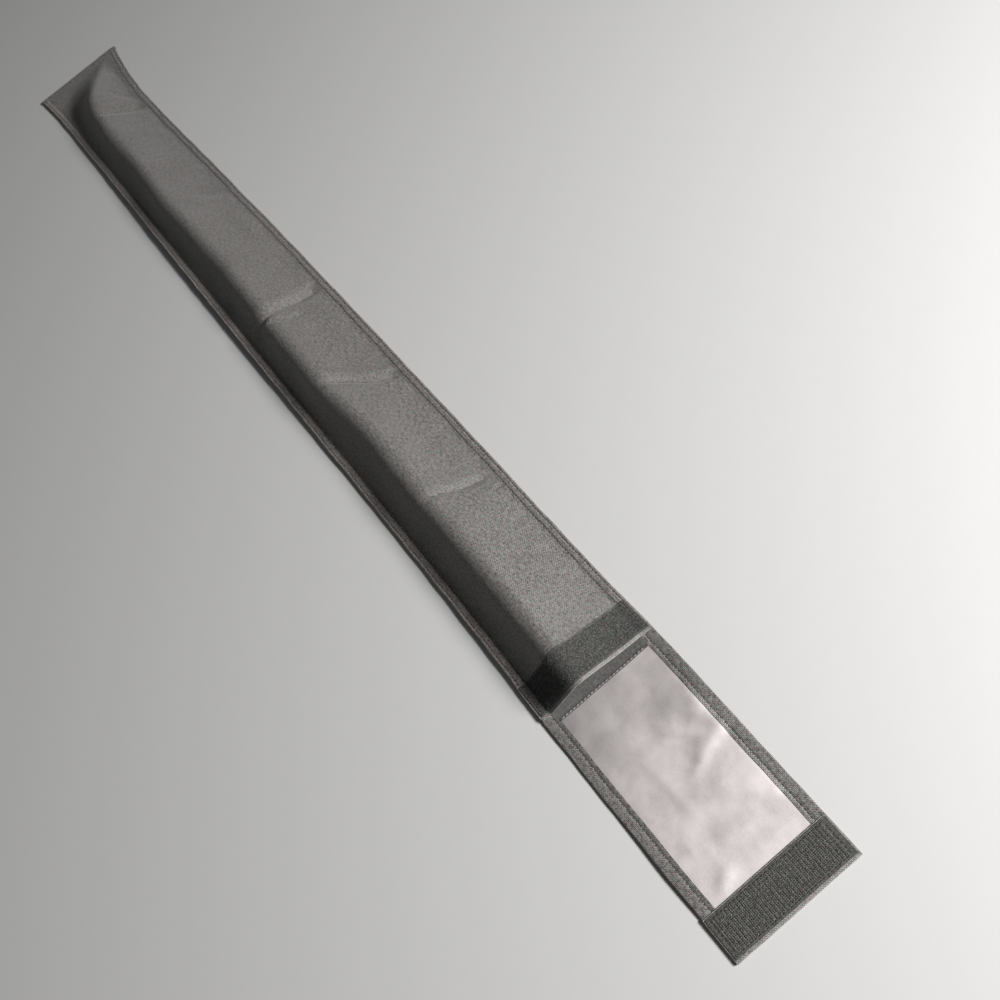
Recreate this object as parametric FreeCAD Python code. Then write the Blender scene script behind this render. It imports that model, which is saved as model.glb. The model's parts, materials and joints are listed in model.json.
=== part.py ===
import FreeCAD, Part
import math
import os

# A soft case for a jointed cue: a long pouch with a fold-over flap.
# Millimetres. X runs from the closed end to the flap's end, Y across, Z up.
# The case lies on its back panel with the flap open.

# Driving dimensions.
case_width = 112.0
pouch_length = 1006.0
flap_length = 216.0
cloth = 0.8
lining_thick = 1.0
seam_width = 9.5
hem_width = 12.0
turn_in_width = 11.0
butt_diameter = 29.0
tape_width = 30.0
loop_thick = 1.5
hook_thick = 1.8
mouth_lip_width = 3.0
end_lip_width = 4.0
lining_past_mouth = 9.0
thread_width = 0.6
thread_height = 0.3
outer_row_inset = 2.5
inner_row_inset = seam_width - 1.2
hem_row_inset = 3.5
lining_row_inset = 2.5
tape_row_inset = 1.6
loop_margin = 2.0
hook_margin = 1.5
floor_start = 20.0
roof_start = 40.0
skin_gap = 0.1
fold_gap = 0.4
closing_gap = 0.4 + 2 * thread_height

# The pouch at places along its length: distance from the closed end, left edge, right edge,
# and the height of the crown. The filled pouch draws its side seams in.
crown_mouth = cloth + lining_thick + butt_diameter + lining_thick + cloth
stations = (
    (0.0, -56.0, 55.0, 0.0),
    (14.0, -54.8, 52.0, 8.0),
    (45.0, -52.8, 47.5, 20.0),
    (100.0, -52.0, 43.5, 26.5),
    (220.0, -51.6, 45.5, 28.0),
    (350.0, -52.0, 49.0, 28.5),
    (500.0, -52.4, 51.5, 29.0),
    (760.0, -52.6, 53.5, 30.5),
    (940.0, -53.4, 54.0, crown_mouth),
    (pouch_length, -56.0, 56.0, crown_mouth),
)
crown_share = 0.36
curve_steps = 6
dome_start = 4.0
dome_start_height = 0.5
dome_corner = 8.0

# Layers of the seam, from the ground up.
hem_bottom = cloth
turn_in_bottom = hem_bottom + cloth
front_bottom = turn_in_bottom + cloth
front_top = front_bottom + cloth

# Folds of the flap. Closed, it rises by one band and lies back over the mouth.
half_width = case_width / 2
total_length = pouch_length + flap_length
hinge_height = hem_bottom + cloth
hook_top = hinge_height + hook_thick
band_length = crown_mouth + loop_thick + closing_gap + hook_top - 2 * hinge_height
closed_overlap = mouth_lip_width + tape_width + end_lip_width
base_length = (flap_length - band_length - closed_overlap) / 2
first_fold = pouch_length + base_length
second_fold = first_fold + band_length
base_end = first_fold - fold_gap / 2

# Stretches along the pouch, and a height above everything.
overhead = 2 * crown_mouth
fold_depth = 2 * cloth
lip_start = pouch_length - mouth_lip_width
loop_start = lip_start - tape_width
lining_end = pouch_length + lining_past_mouth
seam_row_start = 4 * cloth
seam_row_end = loop_start - skin_gap


def point(x, y, z):
    return FreeCAD.Vector(x, y, z)


def box(x0, x1, y0, y1, z0, z1):
    return Part.makeBox(x1 - x0, y1 - y0, z1 - z0, point(x0, y0, z0))


# Everything past the turn at the closed end.
pouch_room = box(fold_depth, total_length, -case_width, case_width, 0, overhead)


def spline(points):
    curve = Part.BSplineCurve()
    curve.interpolate(points)
    return curve.toShape()


def line(start, end):
    return Part.makeLine(start, end)


def edge_curve(side, inset, z, reverse=False):
    """One long edge of the pouch, moved inwards by inset. side is -1 left, 1 right."""
    places = [(s[0], s[1] + inset) if side < 0 else (s[0], s[2] - inset) for s in stations]
    points = [point(x, y, z) for x, y in places]
    if reverse:
        points.reverse()
    return spline(points)


def slab(there, back, height):
    """A flat solid between an edge and another that runs back beside it."""
    first, turn = there.Vertexes
    restart, last = back.Vertexes
    joins = line(turn.Point, restart.Point), line(last.Point, first.Point)
    wire = Part.Wire([there, joins[0], back, joins[1]])
    return Part.Face(wire).extrude(point(0, 0, height))


def strip(side, outer, inner, z0, z1):
    """A flat strip along one side of the pouch between two insets from its edge."""
    there = edge_curve(side, outer, z0)
    back = edge_curve(side, inner, z0, reverse=True)
    return slab(there, back, z1 - z0)


def sheet(z0, z1):
    """A flat sheet with the outline of the whole pouch."""
    left = edge_curve(-1, 0, z0)
    right = edge_curve(1, 0, z0, reverse=True)
    return slab(left, right, z1 - z0)


def dome_section(x, left, right, height):
    """A closed section of the filled pouch: a rounded crown nearer the left side."""
    crown = left + crown_share * (right - left)
    points = []
    for step in range(-curve_steps, curve_steps + 1):
        share = step / curve_steps
        reach = crown - left if share < 0 else right - crown
        y = crown + share * reach
        rise = math.cos(math.pi / 2 * share)
        points.append(point(x, y, front_bottom + height * rise))
    points[0].z = front_bottom
    points[-1].z = front_bottom
    return Part.Wire([spline(points), line(points[-1], points[0])])


def dome(inset):
    """The filled pouch above its seam, with every face moved inwards by inset."""
    end, left, right = stations[0][:3]
    corner = seam_width + dome_corner + inset
    start = end + dome_start + 3 * max(inset, 0)
    sections = [dome_section(start, left + corner, right - corner, dome_start_height)]
    for x, left, right, crown in stations[1:]:
        height = crown - front_bottom - inset
        slope = math.atan2(height, crown_share * half_width)
        lean = seam_width + inset / math.sin(slope)
        sections.append(dome_section(x, left + lean, right - lean, height))
    return Part.makeLoft(sections, True, True)


def cover(inset):
    """The pouch's top face and its flat seams as one solid, moved inwards by inset."""
    plate = sheet(0, front_top - inset)
    return plate.fuse(dome(inset))


def skin(outer_inset, inner_inset, x0, x1, margin=0.0):
    """A curved layer over the pouch between two insets, from x0 to x1."""
    layer = cover(outer_inset).cut(cover(inner_inset))
    reach = half_width - margin
    return layer.common(box(x0, x1, -reach, reach, front_bottom, overhead))


def seam_thread(side, inset):
    """One row of stitches along a side seam, as a low bead of thread."""
    row = strip(side, inset, inset + thread_width, front_top, front_top + thread_height)
    return row.common(box(seam_row_start, seam_row_end, -case_width, case_width, 0, overhead))


def flap_threads(x0, x1):
    """Two rows of stitches, one down each side hem of the flap."""
    low = half_width - hem_width + hem_row_inset
    rows = []
    for y in (low, -low - thread_width):
        rows.append(box(x0, x1, y, y + thread_width, hinge_height, hinge_height + thread_height))
    return Part.makeCompound(rows)


def side_hem(side, x0, x1):
    """The turned-in long edge of the flap, on top of its panel."""
    inner = side * (half_width - hem_width)
    outer = side * half_width
    return box(x0, x1, min(inner, outer), max(inner, outer), hem_bottom, hinge_height)


def flap_panel(x0, x1):
    return box(x0, x1, -half_width, half_width, 0, cloth)


def build_panels():
    """The one strip of cloth: under the pouch, round the closed end and over the pocket."""
    back = sheet(0, cloth).common(pouch_room)
    run_on = flap_panel(pouch_length, base_end)
    return {
        "back_panel": back.fuse(run_on).removeSplitter(),
        "closed_end_fold": sheet(0, front_top).cut(pouch_room),
        "front_panel": skin(0, cloth, fold_depth, lip_start),
        "mouth_lip": skin(0, 2 * cloth, lip_start, pouch_length),
    }


def build_seam(side, name):
    """What lies in one side seam: the back's hem, the front's tucked edge and the stitches."""
    hem = strip(side, 0, hem_width, hem_bottom, hinge_height).common(pouch_room)
    run_on = side_hem(side, pouch_length, base_end)
    tuck = strip(side, 0, turn_in_width, turn_in_bottom, front_bottom)
    return {
        name + "_back_hem": hem.fuse(run_on).removeSplitter(),
        name + "_front_turn_in": tuck.common(pouch_room),
        name + "_outer_stitches": seam_thread(side, outer_row_inset),
        name + "_inner_stitches": seam_thread(side, inner_row_inset),
    }


def build_lining():
    """The thin lining on the pocket's floor and under its front, and the row that ends it."""
    top = cloth + lining_thick
    width = half_width - hem_width - skin_gap
    floor = sheet(cloth, top)
    for side in (-1, 1):
        floor = floor.cut(strip(side, -case_width, hem_width + skin_gap, cloth, top))
    floor = floor.common(box(floor_start, pouch_length, -case_width, case_width, cloth, top))
    tail = box(pouch_length, lining_end, -width, width, cloth, top)
    inset = cloth + skin_gap
    roof = dome(inset).cut(dome(inset + lining_thick))
    room = box(roof_start, lip_start, -half_width, half_width, front_bottom, overhead)
    row_x = lining_end - lining_row_inset
    return {
        "back_lining": floor.fuse(tail).removeSplitter(),
        "front_lining": roof.common(room),
        "lining_stitches": box(
            row_x, row_x + thread_width, -width, width, top, top + thread_height
        ),
    }


def build_loop_tape():
    """The loop tape across the mouth, and the stitches round it on its curved face."""
    near, far = loop_start + tape_row_inset, lip_start - tape_row_inset
    margin = loop_margin + tape_row_inset
    bead = skin(-loop_thick - thread_height, -loop_thick, near, far, margin)
    reach = half_width - margin - thread_width
    middle = box(near + thread_width, far - thread_width, -reach, reach, 0, overhead)
    return {
        "loop_strip": skin(-loop_thick, 0, loop_start, lip_start, loop_margin),
        "loop_stitches": bead.cut(middle),
    }


def build_band():
    start = first_fold + fold_gap / 2
    end = second_fold - fold_gap / 2
    return {
        "flap_band_panel": flap_panel(start, end),
        "left_band_hem": side_hem(-1, start, end),
        "right_band_hem": side_hem(1, start, end),
        "band_hem_stitches": flap_threads(start, end),
    }


def build_tip():
    start = second_fold + fold_gap / 2
    lip = total_length - end_lip_width
    tape = lip - tape_width
    reach = half_width - hook_margin
    return {
        "flap_tip_panel": flap_panel(start, total_length),
        "left_tip_hem": side_hem(-1, start, tape),
        "right_tip_hem": side_hem(1, start, tape),
        "end_hem": box(tape, total_length, -half_width, half_width, hem_bottom, hinge_height),
        "hook_strip": box(tape, lip, -reach, reach, hinge_height, hook_top),
        "hook_stitches": hook_threads(tape, lip, reach),
        "tip_hem_stitches": flap_threads(start, tape),
    }


def hook_threads(x0, x1, reach):
    """Stitches round the hook tape, as a low frame of thread."""
    near, far = x0 + tape_row_inset, x1 - tape_row_inset
    side = reach - tape_row_inset
    outer = box(near, far, -side, side, hook_top, hook_top + thread_height)
    near, far = near + thread_width, far - thread_width
    side = side - thread_width
    return outer.cut(box(near, far, -side, side, hook_top, hook_top + thread_height))


def main():
    parts = build_panels()
    parts.update(build_seam(-1, "left"))
    parts.update(build_seam(1, "right"))
    parts.update(build_lining())
    parts.update(build_loop_tape())
    parts["base_hem_stitches"] = flap_threads(pouch_length + 1.0, base_end)
    parts.update(build_band())
    parts.update(build_tip())
    os.makedirs("parts", exist_ok=True)
    middle = total_length / 2
    for name, shape in parts.items():
        shape.translated(point(-middle, 0, 0)).exportStep(os.path.join("parts", name + ".step"))
        print(name, shape.isValid(), len(shape.Solids), round(shape.Volume, 1))
    print("first fold at", first_fold - middle, "second fold at", second_fold - middle)
    print("hinge height", hinge_height, "band", band_length, "base", base_length)


main()
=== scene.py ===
import bpy
import json
import math
import random
from mathutils import Matrix, Vector, noise


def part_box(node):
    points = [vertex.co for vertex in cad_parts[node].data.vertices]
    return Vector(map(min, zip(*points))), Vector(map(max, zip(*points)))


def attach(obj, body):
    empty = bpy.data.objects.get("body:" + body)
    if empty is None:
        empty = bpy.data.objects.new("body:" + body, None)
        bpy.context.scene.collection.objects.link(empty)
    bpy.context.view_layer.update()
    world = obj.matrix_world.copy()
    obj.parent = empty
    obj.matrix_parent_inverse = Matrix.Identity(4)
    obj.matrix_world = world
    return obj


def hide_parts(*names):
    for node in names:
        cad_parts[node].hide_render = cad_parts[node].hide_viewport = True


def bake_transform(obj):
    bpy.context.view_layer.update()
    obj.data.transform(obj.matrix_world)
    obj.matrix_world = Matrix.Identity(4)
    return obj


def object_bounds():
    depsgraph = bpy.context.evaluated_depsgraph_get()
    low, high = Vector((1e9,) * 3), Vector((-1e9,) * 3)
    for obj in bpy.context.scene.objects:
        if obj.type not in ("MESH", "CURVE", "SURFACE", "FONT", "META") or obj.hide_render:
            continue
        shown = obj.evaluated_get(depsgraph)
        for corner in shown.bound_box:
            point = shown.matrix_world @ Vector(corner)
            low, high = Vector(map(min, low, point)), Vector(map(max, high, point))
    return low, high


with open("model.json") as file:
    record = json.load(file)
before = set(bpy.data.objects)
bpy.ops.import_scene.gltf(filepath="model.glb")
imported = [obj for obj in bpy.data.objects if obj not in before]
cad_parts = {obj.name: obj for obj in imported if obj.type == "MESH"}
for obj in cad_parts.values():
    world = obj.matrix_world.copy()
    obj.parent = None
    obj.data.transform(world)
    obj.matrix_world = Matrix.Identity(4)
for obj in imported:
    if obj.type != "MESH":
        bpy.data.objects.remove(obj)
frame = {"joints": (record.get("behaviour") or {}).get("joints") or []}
cadLow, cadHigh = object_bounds()
bpy.ops.object.select_all(action="DESELECT")

mm = 0.001

# Places that the frame gives. Distances along the case are counted from its closed end.
closedEnd = cadLow.x
caseLength = cadHigh.x - cadLow.x
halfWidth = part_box("flap_tip_panel")[1].y
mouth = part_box("mouth_lip")[1].x - closedEnd
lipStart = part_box("mouth_lip")[0].x - closedEnd
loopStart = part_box("loop_strip")[0].x - closedEnd
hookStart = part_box("hook_strip")[0].x - closedEnd
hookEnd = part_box("hook_strip")[1].x - closedEnd
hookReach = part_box("hook_strip")[1].y
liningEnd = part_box("back_lining")[1].x - closedEnd
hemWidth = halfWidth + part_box("left_band_hem")[1].y
firstFold = frame["joints"][0]["pos_m"][0] - closedEnd
secondFold = frame["joints"][1]["pos_m"][0] - closedEnd
bandMiddle = (firstFold + secondFold) / 2

layers = {
    "cloth": 0.6 * mm,
    "foldedEdge": 0.4 * mm,
    "coating": 0.12 * mm,
    "coatingGap": 0.14 * mm,  # keeps the coating clear of the cloth under it
    "lining": 0.2 * mm,
    "tape": 0.6 * mm,
    "seamWidth": 8.6 * mm,
    "foldReach": 7 * mm,  # how far the cloth bends on each side of a fold line
    "foldMargin": 2 * mm,  # how far the close rows run on past the bend
}
cloth = layers["cloth"]
hemTop = 2 * cloth
frontTop = 4 * cloth

# The pouch along its length: distance, left edge, right edge, crown height, place of the crown across.
outline = [
    (0 * mm, -56.0 * mm, 55.0 * mm, 0.0 * mm, 0.80),
    (18 * mm, -54.6 * mm, 51.5 * mm, 5.6 * mm, 0.72),
    (42 * mm, -52.8 * mm, 48.0 * mm, 12.6 * mm, 0.64),
    (62 * mm, -52.4 * mm, 46.0 * mm, 19.0 * mm, 0.56),
    (84 * mm, -52.1 * mm, 44.4 * mm, 25.4 * mm, 0.47),
    (108 * mm, -52.0 * mm, 43.5 * mm, 27.8 * mm, 0.42),
    (220 * mm, -51.6 * mm, 45.5 * mm, 28.0 * mm, 0.37),
    (350 * mm, -52.0 * mm, 49.0 * mm, 28.5 * mm, 0.36),
    (500 * mm, -52.4 * mm, 51.5 * mm, 29.0 * mm, 0.36),
    (760 * mm, -52.6 * mm, 53.5 * mm, 30.5 * mm, 0.38),
    (920 * mm, -53.4 * mm, 54.0 * mm, 31.8 * mm, 0.38),
    (1006 * mm, -56.0 * mm, 56.0 * mm, 29.4 * mm, 0.37),
]


def smoothAt(stops, place, column):
    # a smooth curve through one column of a list of stops
    last = len(stops) - 1
    index = 0
    while index < last - 1 and place > stops[index + 1][0]:
        index += 1
    low, high = stops[index], stops[index + 1]
    gap = high[0] - low[0]
    share = min(max((place - low[0]) / gap, 0), 1)
    slopes = []
    for stop in (index, index + 1):
        before, after = stops[max(stop - 1, 0)], stops[min(stop + 1, last)]
        slopes.append((after[column] - before[column]) / (after[0] - before[0]))
    square, cube = share ** 2, share ** 3
    blend = 3 * square - 2 * cube
    value = (1 - blend) * low[column] + blend * high[column]
    return value + gap * ((cube - 2 * square + share) * slopes[0] + (cube - square) * slopes[1])


def ease(value, low, high):
    share = min(max((value - low) / (high - low), 0), 1)
    return share * share * (3 - 2 * share)


def bell(value, width):
    return math.exp(-(value / width) ** 2)


# Shape of the filled pouch.
pouch = {
    "cueRadius": 14.5 * mm,
    "moundEnd": 70 * mm,  # up to here the closed end is a soft mound
    "moundFade": 80 * mm,
    "drift": 4.5 * mm,  # how far the crown wanders sideways along the pouch
    "driftLength": 150 * mm,
    "driftFrom": 80 * mm,
    "driftFull": 200 * mm,
    "sag": 0.9 * mm,  # how far the tight cloth hangs in between the cue and the seam
    "ripple": 0.9 * mm,
    "rippleLength": 34 * mm,
    "calmBySeam": 14 * mm,  # the seam holds the cloth flat this far in
    "pucker": 0.75 * mm,
    "puckerLength": 8 * mm,
    "puckerReach": 20 * mm,
    "foot": 0.8 * mm,  # rounds the foot of the slope
    "edgeLift": 3.2 * mm,
    "mouthDraw": 5.5 * mm,  # how far the crown is drawn forward over the mouth
    "mouthDrawLength": 120 * mm,
    "mouthDrawHeight": 26 * mm,
}

# Old packing folds across the front. The ends give distance and place across, twice; the bank is how far
# back the slope into the fold begins.
packingFolds = [
    {"ends": (517 * mm, 47 * mm, 530 * mm, -24 * mm), "depth": 4.3 * mm, "bank": 17 * mm},
    {"ends": (543 * mm, 12 * mm, 539 * mm, -18 * mm), "depth": 2.2 * mm, "bank": 8 * mm},
    {"ends": (664 * mm, 38 * mm, 640 * mm, -12 * mm), "depth": 3.7 * mm, "bank": 14 * mm},
    {"ends": (809 * mm, 36 * mm, 805 * mm, -10 * mm), "depth": 2.5 * mm, "bank": 12 * mm},
    {"ends": (127 * mm, 42 * mm, 128 * mm, -12 * mm), "depth": 3.6 * mm, "bank": 24 * mm},
    {"ends": (104 * mm, 40 * mm, 92 * mm, 12 * mm), "depth": 1.2 * mm, "bank": 10 * mm},
    {"ends": (46 * mm, 46 * mm, 40 * mm, 26 * mm), "depth": 1.2 * mm, "bank": 10 * mm},
    {"ends": (330 * mm, 44 * mm, 316 * mm, 4 * mm), "depth": 1.1 * mm, "bank": 16 * mm},
    {"ends": (905 * mm, 48 * mm, 890 * mm, 8 * mm), "depth": 0.9 * mm, "bank": 14 * mm},
]

sharpFolds = packingFolds[:5]  # these get closer rows of cloth
foldShape = {
    "wander": 1.8 * mm,
    "bankEnd": 0.35,  # all of these are shares of the bank
    "wide": 0.9,
    "narrow": 0.18,
    "narrowDepth": 0.8,  # share of the depth that the narrow part takes
}

# Soft dents and swellings: distance, place across, length, breadth, height.
dents = [
    (625 * mm, 8 * mm, 10 * mm, 9 * mm, -1.1 * mm),
    (68 * mm, 40 * mm, 10 * mm, 8 * mm, 2.2 * mm),
    (94 * mm, 4 * mm, 13 * mm, 12 * mm, 1.0 * mm),
    (20 * mm, 10 * mm, 22 * mm, 30 * mm, -1.0 * mm),
    (752 * mm, 16 * mm, 12 * mm, 10 * mm, -0.9 * mm),
    (820 * mm, -4 * mm, 12 * mm, 9 * mm, -0.8 * mm),
    (300 * mm, 22 * mm, 40 * mm, 14 * mm, -0.5 * mm),
    (410 * mm, 4 * mm, 34 * mm, 12 * mm, 0.5 * mm),
    (760 * mm, 24 * mm, 50 * mm, 14 * mm, -0.5 * mm),
    (880 * mm, 2 * mm, 30 * mm, 14 * mm, 0.5 * mm),
]


def swell(reach, width, height):
    # cloth runs straight up from the seam, then round the cue inside
    radius = min(pouch["cueRadius"], 0.5 * height)
    core = height - radius
    lean = math.atan2(core, width) + math.asin(radius / math.hypot(core, width))
    if reach < radius * math.sin(lean):
        return core + math.sqrt(radius ** 2 - reach ** 2)
    run = width - radius * math.sin(lean)
    share = (width - reach) / run
    return (width - reach) * math.tan(lean) - pouch["sag"] * math.sin(math.pi * share) ** 2


def foldDip(fold, x, y):
    # a long slope down into the fold and a short one back up
    startX, startY, endX, endY = fold["ends"]
    share = (y - startY) / (endY - startY)
    if not -0.3 < share < 1.25:
        return 0
    off = x - startX - (endX - startX) * share - foldShape["wander"] * math.sin(share * 5)
    bank = fold["bank"]
    if off < 0:
        bankEnd = foldShape["bankEnd"] * bank
        shape = ease(off, -bank, bankEnd) / ease(0, -bank, bankEnd)
    else:
        narrow = foldShape["narrowDepth"]
        shape = narrow * bell(off, foldShape["narrow"] * bank)
        shape += (1 - narrow) * bell(off, foldShape["wide"] * bank)
    ends = ease(share, -0.25, 0.15) * (1 - ease(share, 0.8, 1.2))
    return -fold["depth"] * shape * ends


def edges(x):
    # left and right edge of the pouch
    return smoothAt(outline, x, 1), smoothAt(outline, x, 2)


def caseEdges(x):
    return edges(x) if x < mouth else (-halfWidth, halfWidth)


def seams(x):
    left, right = edges(x)
    return left + layers["seamWidth"], right - layers["seamWidth"]


def coverHeight(x, y):
    # height of the front's outer face
    left, right = edges(x)
    leftSeam, rightSeam = seams(x)
    height = smoothAt(outline, x, 3) - frontTop
    if y <= leftSeam or y >= rightSeam or height < 0.3 * mm:
        return frontTop
    crown = left + (right - left) * smoothAt(outline, x, 4)
    drift = noise.noise(Vector((x, 0, 5)) / pouch["driftLength"])
    drift += 0.5 * noise.noise(Vector((x, 0, 8)) / (0.4 * pouch["driftLength"]))
    crown += pouch["drift"] * drift * ease(x, pouch["driftFrom"], pouch["driftFull"])
    crown = min(max(crown, leftSeam + 2 * mm), rightSeam - 2 * mm)
    width = crown - leftSeam if y < crown else rightSeam - crown
    rise = swell(abs(y - crown), width, height)
    # past the cue's end the cloth only lies over it in a soft mound
    soft = 1 - ease(x, pouch["moundEnd"], pouch["moundEnd"] + pouch["moundFade"])
    mound = height * (0.5 + 0.5 * math.cos(math.pi * abs(y - crown) / width))
    rise += soft * (mound - rise)
    inside = min(y - leftSeam, rightSeam - y)
    free = ease(inside, 0, pouch["calmBySeam"])
    wave = noise.noise(Vector((x, y * 1.6, 0.3)) / pouch["rippleLength"])
    fine = noise.noise(Vector((x * 1.3, y, 0.7)) / (0.35 * pouch["rippleLength"]))
    rise += free * pouch["ripple"] * (wave + 0.3 * fine)
    tug = noise.noise(Vector((x, 0.2 * y, 0.9)) / pouch["puckerLength"])
    tug *= ease(inside, 0, 3 * mm) * (1 - ease(inside, 5 * mm, pouch["puckerReach"]))
    rise += pouch["pucker"] * tug
    rise += sum(foldDip(fold, x, y) for fold in packingFolds) * ease(inside, 0, 8 * mm)
    for place, across, length, breadth, lump in dents:
        rise += lump * bell(x - place, length) * bell(y - across, breadth) * free
    return frontTop + math.hypot(max(rise, 0), pouch["foot"]) - pouch["foot"]


def coverPoint(x, y, lift):
    # a point off the front's outer face, moved along its normal
    step = 0.5 * mm
    slopeX = (coverHeight(x + step, y) - coverHeight(x - step, y)) / (2 * step)
    slopeY = (coverHeight(x, y + step) - coverHeight(x, y - step)) / (2 * step)
    normal = Vector((-slopeX, -slopeY, 1)).normalized()
    return Vector((x, y, coverHeight(x, y))) + normal * lift


# How the whole case lies: both long edges lift off the surface here and there.
edgeLifts = [
    # side, distance, how long, how high
    (-1, 330 * mm, 190 * mm, 1.0),
    (-1, 560 * mm, 120 * mm, 0.5),
    (-1, 930 * mm, 70 * mm, 0.35),
    (1, 250 * mm, 110 * mm, 0.4),
    (1, 700 * mm, 160 * mm, 0.45),
    (1, 1066 * mm, 52 * mm, 1.5),
    (-1, 1150 * mm, 40 * mm, 0.25),
]

# Soft swells in the flap: both ends of the crest, its reach before and after, height.
flapFolds = [
    (1094 * mm, 52 * mm, 1102 * mm, 16 * mm, 10.0 * mm, 6.0 * mm, 3.0 * mm),
    (1090 * mm, 28 * mm, 1073 * mm, 8 * mm, 5.0 * mm, 3.0 * mm, 1.2 * mm),
    (1153 * mm, 42 * mm, 1121 * mm, 0 * mm, 15.0 * mm, 8.0 * mm, 3.6 * mm),
    (1104 * mm, 22 * mm, 1110 * mm, 2 * mm, 5.0 * mm, 4.0 * mm, 0.9 * mm),
    (1161 * mm, 20 * mm, 1156 * mm, -20 * mm, 9.0 * mm, 7.0 * mm, 2.1 * mm),
    (1156 * mm, -20 * mm, 1142 * mm, -36 * mm, 7.0 * mm, 6.0 * mm, 1.1 * mm),
    (1084 * mm, 48 * mm, 1058 * mm, 14 * mm, 20.0 * mm, 9.0 * mm, 3.8 * mm),
    (1184 * mm, -34 * mm, 1170 * mm, -18 * mm, 8.0 * mm, 5.0 * mm, 1.1 * mm),
    (1062 * mm, -8 * mm, 1050 * mm, -34 * mm, 10.0 * mm, 9.0 * mm, 1.0 * mm),
    (1130 * mm, -14 * mm, 1080 * mm, -16 * mm, 5.0 * mm, 4.0 * mm, 0.45 * mm),
]


flapLie = {
    "from": 20 * mm,  # before the mouth
    "full": 15 * mm,  # past the mouth
    "until": 14 * mm,  # before the hook tape
    "hemFrom": 41 * mm,
    "hemTo": 51 * mm,
    "heldByHem": 0.75,
    "crumple": 0.45 * mm,
    "crumpleLength": 17 * mm,
    "fine": 0.12 * mm,
    "fineLength": 6 * mm,
}


def ridge(fold, x, y):
    startX, startY, endX, endY, before, after, height = fold
    run = Vector((endX - startX, endY - startY))
    reach = Vector((x - startX, y - startY))
    share = reach.dot(run) / run.length_squared
    nearest = min(max(share, 0), 1)
    aside = reach - run * nearest
    lean = (run.x * aside.y - run.y * aside.x) / max(run.length * aside.length, 1e-9)
    width = after + (before - after) * ease(-lean, -0.7, 0.7)
    fade = ease(share, -0.35, 0.35) * (1 - ease(share, 0.55, 1.3))
    return height * bell(aside.length, width) * fade


def lieOf(x, y):
    # how far the cloth at this place stands off the surface below
    lift = 0
    for side, place, length, share in edgeLifts:
        lift += share * bell(x - place, length) * ease(side * y, 20 * mm, 56 * mm)
    lift *= pouch["edgeLift"]
    if x > mouth - flapLie["from"]:
        free = 1 - ease(abs(y), flapLie["hemFrom"], flapLie["hemTo"]) * flapLie["heldByHem"]
        free *= ease(x, mouth - flapLie["from"], mouth + flapLie["full"])
        free *= 1 - ease(x, hookStart - flapLie["until"], hookStart)
        crumple = 1 + noise.noise(Vector((x, y, 0)) / flapLie["crumpleLength"])
        fine = 1 + noise.noise(Vector((x, y, 3)) / flapLie["fineLength"])
        lift += free * sum(ridge(fold, x, y) for fold in flapFolds)
        lift += free * (flapLie["crumple"] * crumple + flapLie["fine"] * fine)
    return lift


def laid(x, y, z):
    return Vector((closedEnd + x, y, z + lieOf(x, y)))


def laidFront(x, y, z):
    # the front's crown is drawn a little over the mouth
    share = min(max((z - frontTop) / pouch["mouthDrawHeight"], 0), 1)
    draw = pouch["mouthDraw"] * ease(x, mouth - pouch["mouthDrawLength"], mouth) * share
    return laid(x, y, z) + Vector((draw, 0, 0))


# Materials.
def newMaterial(name, roughness, specular, sheen=0.0, sheenRoughness=0.5):
    material = bpy.data.materials.new(name)
    material.use_nodes = True
    shader = material.node_tree.nodes["Principled BSDF"]
    shader.inputs["Roughness"].default_value = roughness
    shader.inputs["Specular IOR Level"].default_value = specular
    shader.inputs["Sheen Weight"].default_value = sheen
    shader.inputs["Sheen Roughness"].default_value = sheenRoughness
    return material


class Nodes:
    # short calls for the nodes of one material
    def __init__(self, material):
        self.tree = material.node_tree
        self.shader = self.tree.nodes["Principled BSDF"]

    def add(self, kind, inputs=None, **settings):
        node = self.tree.nodes.new(kind)
        for name, value in settings.items():
            setattr(node, name, value)
        for name, value in (inputs or {}).items():
            self.put(node, name, value)
        return node

    def put(self, node, name, value):
        if isinstance(value, bpy.types.NodeSocket):
            self.tree.links.new(value, node.inputs[name])
        else:
            node.inputs[name].default_value = value

    def math(self, operation, first, second=0.0, third=0.0):
        node = self.add("ShaderNodeMath", {0: first, 1: second, 2: third}, operation=operation)
        return node.outputs[0]

    def mixColor(self, factor, low, high, blend="MIX"):
        node = self.add("ShaderNodeMix", data_type="RGBA", blend_type=blend)
        self.put(node, 0, factor)
        self.put(node, 6, low)
        self.put(node, 7, high)
        return node.outputs[2]

    def noise(self, vector, scale, detail=2.0):
        inputs = {"Vector": vector, "Scale": scale, "Detail": detail}
        return self.add("ShaderNodeTexNoise", inputs).outputs["Fac"]

    def ramp(self, value, low, high, outLow=0.0, outHigh=1.0):
        inputs = {"Value": value, "From Min": low, "From Max": high}
        inputs.update({"To Min": outLow, "To Max": outHigh})
        return self.add("ShaderNodeMapRange", inputs).outputs["Result"]

    def bump(self, height, distance, strength=1.0, under=None):
        inputs = {"Height": height, "Distance": distance, "Strength": strength}
        if under is not None:
            inputs["Normal"] = under
        return self.add("ShaderNodeBump", inputs).outputs["Normal"]


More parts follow.
